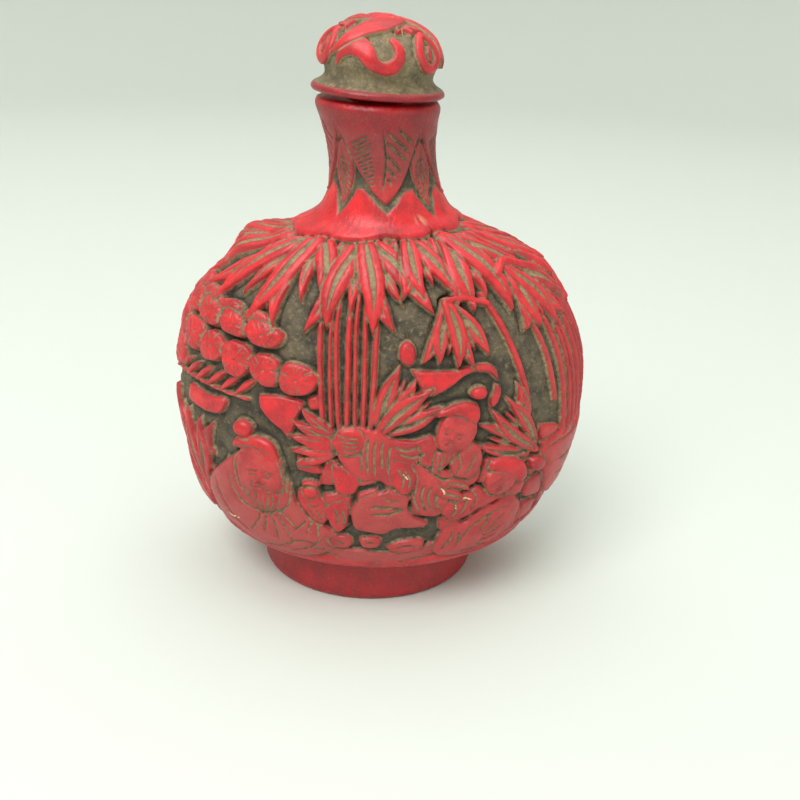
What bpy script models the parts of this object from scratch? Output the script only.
"""Snuff bottle: a moulded red bottle with a carved body, and the domed stopper that rests in its neck.

Metres, +Z up. The origin is under the middle of the foot, the carved front faces -Y.
Every size below is in millimetres and is turned into metres when a mesh is made.
"""

import math

import bmesh
import bpy
import numpy as np

MM = 0.001

# ---------------------------------------------------------------- driving dimensions, in millimetres
# The smooth body that the carving stands on: (height, half width, half depth).
FOOT_STATIONS = [(0.0, 14.9, 12.8), (0.8, 15.5, 13.3), (3.0, 15.2, 13.0), (5.8, 14.9, 12.7)]
BODY_STATIONS = [
    (5.8, 14.9, 12.7),
    (7.9, 21.4, 16.2),
    (12.0, 25.0, 17.5),
    (18.8, 27.4, 17.9),
    (26.5, 28.3, 17.4),
    (34.5, 27.4, 16.7),
    (41.2, 24.6, 15.4),
    (46.2, 20.0, 13.6),
    (50.0, 13.8, 10.6),
    (52.9, 9.0, 8.0),
    (55.8, 7.2, 7.05),
]
NECK_STATIONS = [
    (55.8, 7.2, 7.05),
    (58.7, 6.8, 6.8),
    (61.7, 6.85, 6.85),
    (64.2, 7.4, 7.4),
    (65.8, 7.8, 7.8),
    (66.6, 7.5, 7.5),
]
WIDEST_HEIGHT = 26.5
WIDEST = 28.3
LIP_HEIGHT = 66.6
WALL = 3.3
BORE_RADIUS = 3.75
BORE_CHAMFER = 0.4
# The hollow: (height, half width) from the middle of its floor up to the bore.
HOLLOW_STATIONS = [
    (8.2, 0.0),
    (8.4, 9.0),
    (9.6, 16.0),
    (12.4, 21.0),
    (18.8, 24.1),
    (26.5, 25.0),
    (34.5, 24.1),
    (41.0, 21.0),
    (45.4, 16.2),
    (48.6, 10.2),
    (51.2, 6.0),
    (54.6, 4.2),
    (57.5, BORE_RADIUS),
]
FOOT_RIM_INNER = 11.6
FOOT_RECESS_RADIUS = 10.6
FOOT_RECESS_DEPTH = 2.4

# The hand-finished body leans a little: sideways shift of the middle line at each height.
SWAY_HEIGHTS = [0.0, 8.0, 25.0, 40.0, 50.0, 55.0, 60.0, 66.6]
SWAY_SHIFTS = [-1.0, -0.5, 0.0, 0.3, 0.6, 0.2, -0.4, -1.15]
LIP_TILT_DEG = 1.0

# The stopper, (height above the lip, radius) from the top of its dome down to the end of its plug.
DOME_STATIONS = [
    (9.0, 0.0),
    (8.85, 1.9),
    (8.15, 4.3),
    (6.9, 6.25),
    (5.2, 7.25),
    (3.9, 7.3),
    (3.0, 6.75),
]
FLANGE_STATIONS = [
    (3.0, 6.75),
    (2.3, 6.7),
    (1.7, 7.2),
    (1.25, 8.0),
    (0.85, 8.3),
    (0.45, 8.15),
    (0.3, 7.6),
]
PLUG_RADIUS = 3.15
PLUG_TAPER = 0.3
PLUG_LENGTH = 4.6
STOPPER_TILT_DEG = 2.6
STOPPER_LIFT = 0.32

# The dome's motif, which repeats round it: a winding scroll, an open ring beside it, and a long leaf that
# sweeps down from the smooth top. Arcs are (middle off the motif's own, radius at each end, directions),
# in millimetres and degrees, and leaves are (degrees round from the front, height above the lip).
REPEATS = 3
DEGREES_PER_MM = 7.8
DOME_SPAN = (3.9, 8.7)
SCROLL_MIDDLE = (-3.0, 5.5)
ARCH = ((-2.3, -1.5), (2.2, 1.9), (178, 28))
BOWL = ((1.5, 0.3), (2.2, 1.1), (205, 420))
SCROLL_HALVES = (0.4, 0.8, 1.05, 0.85, 0.85, 1.0, 0.9, 0.7)
RING_PLACE = (55.0, 5.7)
RING = ((0.0, 0.0), (1.75, 1.6), (70, 425))
RING_HALVES = (0.6, 0.7, 0.7, 0.6)
SCROLL_HEIGHT = 0.8
SWEPT_LEAF = [(75.0, 8.9), (35.0, 8.8), (6.0, 8.5), (-18.0, 7.85), (-34.0, 6.6), (-46.0, 5.0)]
SWEPT_HALVES = (1.3, 1.6, 1.7, 1.25, 0.8, 0.4)
SWEPT_HEIGHT = 0.85
CAP_EDGE = 8.65
CAP_RISE = 1.05
DOME_CUT = 0.3

# Lower than any carving: where a motif leaves the surface alone.
UNTOUCHED = -9.0
# Carving levels above (+) and below (-) the smooth body.
GROUND = -0.6
CARVED_FROM = (8.6, 10.8)
CARVED_TO = (50.6, 52.0)
LEAF_HEIGHT = 1.15
LEAF_HALF_WIDTH = 1.25
LEAF_BOW = 0.4
GRASS_HEIGHT = 0.6
STALK_HEIGHT = 0.5
TUFT_HEIGHT = 0.9
STALK_HALF_WIDTH = 0.75
SLAB_EDGE = 0.5
NECK_LEAF_HEIGHT = 0.35

# Mesh fineness.
SCREW_STEPS = 264
STOPPER_STEPS = 120
WALK_STEPS = 6
ARC_STEPS = 12
STATION_STEPS = 12
BOTTLE_TRIANGLES = 8000
STOPPER_TRIANGLES = 1700

# ---------------------------------------------------------------- the carved scene
# Places are (u, z): u in millimetres round the widest part of the body from the middle of the
# front, + to the right, and z the height above the foot's underside.
HALF_ROUND = 72.6

# Sprays of bamboo leaves, fanned out between two directions in degrees from straight down,
# positive to the right: root, first and last direction, length over the body, count, height.
SPRAYS = [
    ((-49.0, 51.5), (-35, 15), 10.0, 3, LEAF_HEIGHT),
    ((-37.0, 51.5), (-42, 0), 12.0, 4, LEAF_HEIGHT),
    ((-28.0, 52.0), (-50, -18), 13.0, 3, LEAF_HEIGHT),
    ((-20.0, 52.0), (-32, 28), 14.5, 4, LEAF_HEIGHT),
    ((-6.5, 52.0), (-12, 34), 14.5, 4, LEAF_HEIGHT),
    ((7.0, 52.0), (-14, 16), 9.5, 3, LEAF_HEIGHT),
    ((19.0, 52.0), (-24, 30), 12.0, 4, LEAF_HEIGHT),
    ((32.0, 52.0), (5, 50), 10.0, 3, LEAF_HEIGHT),
    ((44.0, 51.5), (-15, 35), 9.5, 3, LEAF_HEIGHT),
    ((10.5, 45.0), (-28, 28), 9.0, 4, LEAF_HEIGHT),
    ((25.5, 47.8), (-20, 44), 9.0, 4, LEAF_HEIGHT),
    ((40.0, 47.5), (-25, 25), 8.0, 3, LEAF_HEIGHT),
    ((0.5, 28.5), (165, 115), 9.0, 3, GRASS_HEIGHT),
    ((23.0, 24.0), (-160, -105), 11.5, 4, GRASS_HEIGHT),
    ((-27.0, 15.0), (160, 200), 12.5, 3, GRASS_HEIGHT),
    ((-36.0, 16.0), (165, 200), 13.0, 3, GRASS_HEIGHT),
]
# Bamboo groves: tops of the first and last stalk, their feet, the two heights, and the count.
GROVES = [
    ((-9.5, -1.0), (-6.5, -0.5), (46.5, 28.5), 5),
    ((17.0, 22.5), (21.0, 25.5), (45.5, 30.0), 2),
    ((25.5, 43.0), (28.0, 42.0), (47.0, 25.5), 9),
]
# Rows of round pine tufts: first middle, step to the next, count, half width and half height.
PINE_ROWS = [
    ((-42.0, 36.0), (4.8, -1.0), 3, (2.4, 2.2)),
    ((-40.0, 43.5), (5.4, -0.6), 5, (2.6, 1.5)),
    ((-38.0, 41.2), (5.4, -0.4), 5, (2.7, 1.7)),
    ((-38.0, 38.4), (4.6, -0.6), 7, (2.5, 2.3)),
]
# Flat-topped slabs, such as clouds, rocks and spread robes: outline, height, and swell in the middle.
SLABS = {
    "cloud": (
        [(4.5, 37.0), (11.0, 37.0), (15.5, 37.0), (16.0, 35.0), (13.5, 36.0), (6.5, 33.5)],
        0.1,
        0.0,
    ),
    "cliff": ([(-15.5, 32.0), (-9.0, 32.0), (-10.5, 28.0), (-11.5, 27.5), (-15.0, 30.0)], 0.1, 0.0),
    "pine_bank": ([(-27.5, 30.5), (-20.5, 30.0), (-21.0, 28.0), (-27.5, 28.0)], 0.1, 0.0),
    "left_robe": (
        [(-19.0, 24.0), (-12.0, 23.0), (-10.5, 18.0), (-4.5, 13.0), (-6.0, 11.0), (-13.0, 9.0),
         (-22.0, 9.5), (-26.0, 14.5), (-23.5, 19.5)],
        0.35,
        0.75,
    ),
    "middle_rock": ([(-2.5, 18.5), (2.0, 21.0), (5.0, 19.5), (8.5, 15.5), (0.0, 14.0)], 0.2, 0.35),
    "sleeve": (
        [(-4.5, 29.0), (0.0, 29.0), (5.0, 28.0), (7.0, 28.0), (8.5, 23.0),
         (4.5, 21.0), (0.5, 22.0), (-5.0, 25.5)],
        0.3,
        0.45,
    ),
    "middle_robe": (
        [(5.0, 25.0), (10.0, 23.0), (14.0, 24.0), (12.5, 20.5), (11.0, 16.0), (7.0, 17.5), (5.5, 20.5)],
        0.3,
        0.4,
    ),
    "right_hat": ([(15.5, 24.0), (20.0, 23.5), (21.5, 21.0), (19.5, 19.5), (15.5, 18.0)], 0.4, 0.4),
    "right_robe": (
        [(14.5, 15.5), (20.0, 18.0), (23.5, 15.0), (23.5, 11.0), (18.5, 9.5), (10.5, 10.0), (11.0, 14.0)],
        0.35,
        0.75,
    ),
    "right_bank": (
        [(22.5, 25.0), (29.0, 26.5), (36.0, 27.0), (36.0, 20.0), (30.0, 16.0), (25.0, 22.0)],
        0.1,
        0.3,
    ),
    "left_bank": (
        [(-36.0, 24.0), (-29.0, 20.0), (-27.0, 15.0), (-30.0, 11.5), (-36.0, 12.5)],
        0.1,
        0.3,
    ),
}
# Domes: middle, half width, half height and height of heads, topknots and shoulders.
DOMES = [
    ((-15.5, 22.0), 3.7, 4.6, 1.35),
    ((-17.5, 27.0), 1.6, 1.4, 1.2),
    ((10.5, 29.0), 2.7, 3.6, 1.3),
    ((13.0, 33.5), 1.3, 1.1, 1.1),
    ((12.0, 24.5), 2.2, 2.5, 1.15),
    ((17.0, 21.0), 2.2, 2.2, 0.9),
    ((23.5, 22.0), 1.6, 1.3, 1.0),
    ((-3.0, 27.0), 2.2, 2.0, 0.8),
    ((-8.0, 20.0), 1.2, 1.2, 0.6),
]
# The back repeats the front's vocabulary more simply: a canopy, two groves, tufts and a rocky bank.
BACK_SPRAYS = 4
BACK_SPRAY_LEAVES = 4
BACK_SPRAY_SWEEP = (-36, 36)
BACK_SPRAY_LENGTH = 9.5
BACK_FIRST_SPRAY = 54.0
BACK_SPRAY_SPACING = 11.6
BACK_GROVES = [(50.0, 6), (72.0, 5), (93.0, 6)]
BACK_TUFTS = [(58.5, 38.6), (61.6, 35.2), (63.2, 38.6), (80.0, 39.0), (83.4, 36.0), (85.6, 39.2)]
BACK_TUFT_HALVES = (2.4, 2.1)
BACK_ROCKS = [(44.0, 8.0), (60.0, 9.0), (76.0, 9.5), (92.0, 8.5), (105.0, 8.0)]
# Leaves round the neck: how many of each kind, half width as a share of their spacing, top and tip.
NECK_LEAVES = 4
NECK_SPACING = 2 * HALF_ROUND / NECK_LEAVES
BROAD_LEAF = (0.47, 63.8, 55.0)
NARROW_LEAF = (0.15, 62.0, 54.5)


# ---------------------------------------------------------------- curves
def smooth(points, steps):
    """A Catmull-Rom curve through the points, with so many steps between each two."""
    given = np.array(points, float)
    ends = np.vstack([2 * given[0] - given[1], given, 2 * given[-1] - given[-2]])
    t = np.linspace(0.0, 1.0, steps, endpoint=False)[:, None]
    curve = []
    for a, b, c, d in zip(ends, ends[1:], ends[2:], ends[3:]):
        curve.append(
            0.5 * (2 * b + (c - a) * t + (2 * a - 5 * b + 4 * c - d) * t**2 + (3 * b - a - 3 * c + d) * t**3)
        )
    curve.append(given[-1:])
    return np.vstack(curve)


OUTER = np.vstack(
    [
        smooth(FOOT_STATIONS, STATION_STEPS // 2),
        smooth(BODY_STATIONS, STATION_STEPS)[1:],
        smooth(NECK_STATIONS, STATION_STEPS)[1:],
    ]
)


def half_width(z):
    return np.interp(z, OUTER[:, 0], OUTER[:, 1])


def half_depth(z):
    return np.interp(z, OUTER[:, 0], OUTER[:, 2])


def sway(z):
    return np.interp(z, SWAY_HEIGHTS, SWAY_SHIFTS)


def angle_of(u):
    """The angle round the body of each u, from equal steps along the widest section's ellipse."""
    angles = np.linspace(-math.pi, math.pi, 1441)
    deep = float(half_depth(WIDEST_HEIGHT))
    steps = np.hypot(WIDEST * np.cos(angles), deep * np.sin(angles))
    along = np.concatenate([[0.0], np.cumsum((steps[1:] + steps[:-1]) / 2)])
    along = (along / along[-1] * 2 - 1) * HALF_ROUND
    wrapped = (np.asarray(u, float) + HALF_ROUND) % (2 * HALF_ROUND) - HALF_ROUND
    return np.interp(wrapped, along, angles)


def on_body(places):
    """Points of the smooth body at (u, z) places."""
    u, z = np.array(places, float).T
    angle = angle_of(u)
    return np.stack([half_width(z) * np.sin(angle), -half_depth(z) * np.cos(angle), z], axis=1)


def walked(root, turn, reach):
    """The end of a path of so many true millimetres over the body, from a root in a direction."""
    u, z = root
    heading = math.radians(turn)
    for _ in range(WALK_STEPS):
        slope = (half_depth(z + 0.3) - half_depth(z - 0.3)) / 0.6
        u += reach / WALK_STEPS * math.sin(heading) * WIDEST / half_width(z)
        z -= reach / WALK_STEPS * math.cos(heading) / math.hypot(1.0, slope)
    return u, z


# ---------------------------------------------------------------- carving
def ramp(value, low, high):
    """0 below low, 1 above high, smooth between."""
    t = np.clip((value - low) / (high - low), 0.0, 1.0)
    return t * t * (3 - 2 * t)


def to_path(points, path):
    """Each point's distance to a path, and how far along the path its nearest place is, 0 to 1."""
    nearest = np.full(len(points), np.inf)
    along = np.zeros(len(points))
    pieces = len(path) - 1
    for i in range(pieces):
        edge = path[i + 1] - path[i]
        t = np.clip((points - path[i]) @ edge / max(edge @ edge, 1e-12), 0.0, 1.0)
        gap = np.linalg.norm(points - path[i] - t[:, None] * edge, axis=1)
        closer = gap < nearest
        nearest[closer] = gap[closer]
        along[closer] = (i + t[closer]) / pieces
    return nearest, along


def inside(points, outline):
    """True for each point of the plane that lies inside the closed outline."""
    x, y = points.T
    odd = np.zeros(len(points), bool)
    for (x0, y0), (x1, y1) in zip(outline, np.roll(outline, -1, axis=0)):
        spans = (y0 > y) != (y1 > y)
        with np.errstate(divide="ignore", invalid="ignore"):
            crossing = x0 + (y - y0) * (x1 - x0) / (y1 - y0)
        odd ^= spans & (x < crossing)
    return odd


class Carving:
    """Heights above the smooth body at given surface points, built up motif by motif."""

    def __init__(self, points, places):
        self.points = points
        self.places = places
        z = places[:, 1]
        self.zone = ramp(z, *CARVED_FROM) * (1 - ramp(z, *CARVED_TO))
        self.height = GROUND * self.zone

    def raise_to(self, level):
        self.height = np.maximum(self.height, level)

    def blade(self, root, tip, half, height):
        """A pointed leaf, widest past its middle, that lifts towards its tip."""
        middle = ((root[0] + tip[0]) / 2, (root[1] + tip[1]) / 2 + LEAF_BOW)
        gap, along = to_path(self.points, on_body(smooth([root, middle, tip], 5)))
        spread = half * np.sin(math.pi * np.clip(along, 0.02, 0.985) ** 1.25) ** 0.8
        crest = height * (0.55 + 0.45 * along)
        edge = np.clip(1 - gap / np.maximum(spread, 0.05), 0.0, 1.0)
        self.raise_to(np.where(edge > 0, GROUND + (crest - GROUND) * ramp(edge, 0.0, 0.75), UNTOUCHED))

    def stalk(self, top, foot, half, height):
        gap, _ = to_path(self.points, on_body(smooth([top, foot], 5)))
        edge = np.clip(1 - gap / half, 0.0, 1.0)
        self.raise_to(np.where(edge > 0, GROUND + (height - GROUND) * ramp(edge, 0.0, 0.9), UNTOUCHED))

    def dome(self, middle, half_u, half_z, height):
        du = (self.places[:, 0] - middle[0] + HALF_ROUND) % (2 * HALF_ROUND) - HALF_ROUND
        off = np.hypot(du / half_u, (self.places[:, 1] - middle[1]) / half_z)
        crown = np.clip(1 - off**2, 0.0, 1.0)
        self.raise_to(np.where(off < 1, GROUND + (height - GROUND) * crown, UNTOUCHED))

    def slab(self, outline, height, swell):
        closed = smooth(outline + outline[:1], 4)
        within = inside(self.places, closed[:-1])
        gap, _ = to_path(self.points, on_body(closed))
        depth = np.where(within, gap, 0.0)
        level = GROUND + (height - GROUND) * ramp(depth, 0.0, SLAB_EDGE) + swell * ramp(depth, 0.0, 4.0)
        self.raise_to(np.where(within, level, UNTOUCHED))


def carve_spray(carving, root, sweep, length, count, height):
    for i in range(count):
        turn = sweep[0] + (sweep[1] - sweep[0]) * i / (count - 1)
        carving.blade(root, walked(root, turn, length), LEAF_HALF_WIDTH, height)


def carve_front(carving):
    for outline, height, swell in SLABS.values():
        carving.slab(outline, height, swell)
    for tops, feet, heights, count in GROVES:
        for i in range(count):
            share = i / (count - 1)
            top = (tops[0] + (tops[1] - tops[0]) * share, heights[0])
            foot = (feet[0] + (feet[1] - feet[0]) * share, heights[1])
            carving.stalk(top, foot, STALK_HALF_WIDTH, STALK_HEIGHT)
    for (first_u, first_z), (step_u, step_z), count, halves in PINE_ROWS:
        for i in range(count):
            carving.dome((first_u + step_u * i, first_z + step_z * i), *halves, TUFT_HEIGHT)
    for middle, half_u, half_z, height in DOMES:
        carving.dome(middle, half_u, half_z, height)
    for root, sweep, length, count, height in SPRAYS:
        carve_spray(carving, root, sweep, length, count, height)


def carve_back(carving):
    for i in range(BACK_SPRAYS):
        root = (BACK_FIRST_SPRAY + BACK_SPRAY_SPACING * i, 51.5)
        length = BACK_SPRAY_LENGTH - i % 2
        carve_spray(carving, root, BACK_SPRAY_SWEEP, length, BACK_SPRAY_LEAVES, LEAF_HEIGHT)
    for middle, count in BACK_GROVES:
        for i in range(count):
            lean = i - (count - 1) / 2
            top = (middle + 2.0 * lean, 46.0)
            foot = (middle + 1.2 * lean, 19.0)
            carving.stalk(top, foot, STALK_HALF_WIDTH, STALK_HEIGHT)
    for middle in BACK_TUFTS:
        carving.dome(middle, *BACK_TUFT_HALVES, 0.8)
    for middle, half in BACK_ROCKS:
        left, right = (middle - half, 10.5), (middle + half, 10.5)
        rock = [left, (middle - 0.6 * half, 17.5), (middle + 0.2 * half, 20.5), right]
        carving.slab(rock, 0.15, 0.5)


def neck_leaf(carving, u, half, top, tip):
    """One leaf that hangs from the plain band under the lip, its tip on the shoulder."""
    low = top + 0.7 * (tip - top)
    leaf = [(u - half, top), (u + half, top), (u + 0.65 * half, low), (u, tip), (u - 0.65 * half, low)]
    closed = smooth(leaf + leaf[:1], 4)
    places = carving.places.copy()
    places[:, 0] = (places[:, 0] - u + HALF_ROUND) % (2 * HALF_ROUND) - HALF_ROUND + u
    within = inside(places, closed[:-1])
    gap, _ = to_path(carving.points, on_body(closed))
    rise = NECK_LEAF_HEIGHT * np.where(within, ramp(gap, 0.0, 0.6), 0.0)
    carving.height = np.maximum(carving.height, rise)


def carve_neck(carving):
    """Four broad hanging leaves round the neck, with four narrow ones between."""
    for i in range(NECK_LEAVES):
        share, top, tip = NARROW_LEAF
        neck_leaf(carving, (i + 0.5) * NECK_SPACING, share * NECK_SPACING, top, tip)
    for i in range(NECK_LEAVES):
        share, top, tip = BROAD_LEAF
        neck_leaf(carving, i * NECK_SPACING, share * NECK_SPACING, top, tip)


# ---------------------------------------------------------------- Blender objects
def new_material(name, colour, roughness):
    material = bpy.data.materials.new(name)
    material.use_nodes = True
    shader = material.node_tree.nodes["Principled BSDF"]
    shader.inputs["Base Color"].default_value = (*colour, 1.0)
    shader.inputs["Roughness"].default_value = roughness
    shader.inputs["Metallic"].default_value = 0.0
    return material


def turned(name, profile, material, steps):
    """A profile of (radius, height) points, turned once round Z and made a mesh, in millimetres."""
    mesh = bpy.data.meshes.new(name)
    corners = [(radius, 0.0, height) for radius, height in profile]
    mesh.from_pydata(corners, [(i, i + 1) for i in range(len(corners) - 1)], [])
    outline = bpy.data.objects.new(name + "_outline", mesh)
    bpy.context.scene.collection.objects.link(outline)
    screw = outline.modifiers.new("Turn", "SCREW")
    screw.steps = steps
    screw.render_steps = steps
    screw.use_merge_vertices = True
    screw.merge_threshold = 0.0001
    screw.use_smooth_shade = True
    screw.use_normal_calculate = False
    depsgraph = bpy.context.evaluated_depsgraph_get()
    solid = bpy.data.meshes.new_from_object(outline.evaluated_get(depsgraph))
    bpy.data.objects.remove(outline)
    bpy.data.meshes.remove(mesh)
    solid.name = name
    solid.materials.append(material)
    return solid


def vertices_of(mesh):
    flat = np.empty(3 * len(mesh.vertices))
    mesh.vertices.foreach_get("co", flat)
    return flat.reshape(-1, 3)


def normals_of(mesh):
    flat = np.empty(3 * len(mesh.vertices), np.float32)
    mesh.vertex_normals.foreach_get("vector", flat)
    return flat.reshape(-1, 3).astype(float)


def move_vertices(mesh, points):
    mesh.vertices.foreach_set("co", points.ravel())
    mesh.update()


def thinned(mesh, triangles, name, collection):
    """An object with the mesh in metres, thinned to so many triangles where it is flattest."""
    move_vertices(mesh, vertices_of(mesh) * MM)
    piece = bpy.data.objects.new(name, mesh)
    collection.objects.link(piece)
    fine = bmesh.new()
    fine.from_mesh(mesh)
    bmesh.ops.triangulate(fine, faces=fine.faces[:])
    fine.to_mesh(mesh)
    count = len(fine.faces)
    fine.free()
    thin = piece.modifiers.new("Thin", "DECIMATE")
    thin.ratio = triangles / count
    thin.use_collapse_triangulate = True
    return piece


# ---------------------------------------------------------------- the two pieces
def bottle_profile():
    """Up the hollow from the middle of its floor, over the lip, down the outside and in under the foot."""
    hollow = smooth(HOLLOW_STATIONS, 3)
    profile = [(radius, height) for height, radius in hollow]
    profile.append((BORE_RADIUS, LIP_HEIGHT - BORE_CHAMFER))
    profile.append((BORE_RADIUS + BORE_CHAMFER, LIP_HEIGHT))
    outside = [(radius, height) for height, radius, _ in OUTER[::-1]]
    profile.extend(outside)
    profile.append((FOOT_RIM_INNER, 0.0))
    profile.append((FOOT_RECESS_RADIUS, FOOT_RECESS_DEPTH))
    profile.append((0.0, FOOT_RECESS_DEPTH))
    return profile


def flatten(points):
    """Presses the turned body to its real depth, with an even wall round the hollow."""
    radius = np.hypot(points[:, 0], points[:, 1])
    z = points[:, 2]
    wide = half_width(z)
    deep = half_depth(z)
    skin = np.abs(radius - wide) < 0.02
    within_wall = (deep - WALL) / (wide - WALL)
    squash = np.where(skin | (z < FOOT_STATIONS[-1][0]), deep / wide, within_wall)
    pressed = points.copy()
    pressed[:, 1] *= squash
    return pressed, skin


def lean(points):
    """The slight lean of the middle line and of the lip's plane."""
    moved = points.copy()
    z = points[:, 2]
    moved[:, 0] += sway(z)
    near_lip = ramp(z, 62.0, LIP_HEIGHT)
    moved[:, 2] -= near_lip * math.tan(math.radians(LIP_TILT_DEG)) * points[:, 0]
    return moved


def carve_bottle(mesh, skin_angle, skin):
    """Raises the carving along the smooth body's own normals."""
    points = vertices_of(mesh)
    normals = normals_of(mesh)
    angles = np.linspace(-HALF_ROUND, HALF_ROUND, 2881)
    u = np.interp(skin_angle, angle_of(angles[:-1]), angles[:-1])
    places = np.stack([u, points[:, 2]], axis=1)
    carving = Carving(points[skin], places[skin])
    carve_front(carving)
    behind = places[skin].copy()
    behind[:, 0] %= 2 * HALF_ROUND
    back = Carving(points[skin], behind)
    back.height = carving.height
    carve_back(back)
    back.height = np.where(back.zone > 0, back.height * back.zone, 0.0)
    carve_neck(back)
    points[skin] += normals[skin] * back.height[:, None]
    move_vertices(mesh, points)


def make_bottle(collection):
    red = new_material("bottle_red", (0.50, 0.035, 0.04), 0.38)
    mesh = turned("bottle", bottle_profile(), red, SCREW_STEPS)
    points = vertices_of(mesh)
    around = np.arctan2(points[:, 0], -points[:, 1])
    pressed, skin = flatten(points)
    move_vertices(mesh, pressed)
    carve_bottle(mesh, around, skin & (pressed[:, 2] > FOOT_STATIONS[-1][0]))
    move_vertices(mesh, lean(vertices_of(mesh)))
    return thinned(mesh, BOTTLE_TRIANGLES, "bottle", collection)


def stopper_profile():
    dome = smooth(DOME_STATIONS, 5)
    flange = smooth(FLANGE_STATIONS, 4)[1:]
    profile = [(radius, height) for height, radius in np.vstack([dome, flange])]
    profile.append((PLUG_RADIUS, FLANGE_STATIONS[-1][0]))
    profile.append((PLUG_RADIUS - PLUG_TAPER / 2, -PLUG_LENGTH + 0.5))
    profile.append((PLUG_RADIUS - PLUG_TAPER - 0.4, -PLUG_LENGTH))
    profile.append((0.0, -PLUG_LENGTH))
    return profile


def dome_point(degrees, height):
    """A point of the stopper's smooth dome: the angle round from the front, and the height over the lip."""
    dome = smooth(DOME_STATIONS, 8)[::-1]
    radius = np.interp(height, dome[:, 0], dome[:, 1])
    angle = math.radians(degrees)
    return (radius * math.sin(angle), -radius * math.cos(angle), height)


def arc_places(arc, centre):
    """Places along an arc on the dome."""
    (x, y), (first_radius, last_radius), (first, last) = arc
    places = []
    for i in range(ARC_STEPS + 1):
        turn = math.radians(first + (last - first) * i / ARC_STEPS)
        radius = first_radius + (last_radius - first_radius) * i / ARC_STEPS
        up = centre[1] + y + radius * math.sin(turn)
        across = centre[0] + DEGREES_PER_MM * (x + radius * math.cos(turn))
        places.append((across, min(max(up, DOME_SPAN[0]), DOME_SPAN[1])))
    return places


def band(points, places, halves, rise):
    """How high a rounded band along the places stands at each point, its width changing along it."""
    path = np.array([dome_point(degrees, height) for degrees, height in places])
    gap, along = to_path(points, path)
    width = np.interp(along, np.linspace(0.0, 1.0, len(halves)), halves)
    return rise * ramp(1 - gap / width, 0.0, 0.85)


def carve_stopper(mesh):
    """The scrolls, rings and swept leaves round the dome, and the smooth cap where the leaves meet."""
    points = vertices_of(mesh)
    normals = normals_of(mesh)
    bands = []
    for i in range(REPEATS):
        turn = 360.0 / REPEATS * i
        middle = (turn + SCROLL_MIDDLE[0], SCROLL_MIDDLE[1])
        winding = arc_places(ARCH, middle) + arc_places(BOWL, middle)[1:]
        ring = arc_places(RING, (turn + RING_PLACE[0], RING_PLACE[1]))
        leaf = smooth([(turn + across, up) for across, up in SWEPT_LEAF], 5)
        bands.append(band(points, ring, RING_HALVES, SCROLL_HEIGHT))
        bands.append(band(points, winding, SCROLL_HALVES, SCROLL_HEIGHT))
        bands.append(band(points, leaf, SWEPT_HALVES, SWEPT_HEIGHT))
    bands.append(CAP_RISE * ramp(points[:, 2], CAP_EDGE - 0.1, CAP_EDGE + 0.3))
    raised = np.max(bands, axis=0)
    dome = ramp(points[:, 2], 2.9, 3.5)
    points += normals * ((raised - DOME_CUT) * dome)[:, None]
    move_vertices(mesh, points)


def make_stopper(collection):
    red = new_material("stopper_red", (0.50, 0.035, 0.04), 0.38)
    mesh = turned("stopper", stopper_profile(), red, STOPPER_STEPS)
    carve_stopper(mesh)
    points = vertices_of(mesh)
    tilt = math.radians(STOPPER_TILT_DEG)
    x = points[:, 0] * math.cos(tilt) + points[:, 2] * math.sin(tilt)
    z = points[:, 2] * math.cos(tilt) - points[:, 0] * math.sin(tilt)
    points[:, 0] = x + sway(LIP_HEIGHT)
    points[:, 2] = z + LIP_HEIGHT + STOPPER_LIFT
    move_vertices(mesh, points)
    return thinned(mesh, STOPPER_TRIANGLES, "stopper", collection)


def main():
    for old in list(bpy.data.objects):
        bpy.data.objects.remove(old, do_unlink=True)
    collection = bpy.data.collections.new("snuff_bottle")
    bpy.context.scene.collection.children.link(collection)
    make_bottle(collection)
    make_stopper(collection)


main()
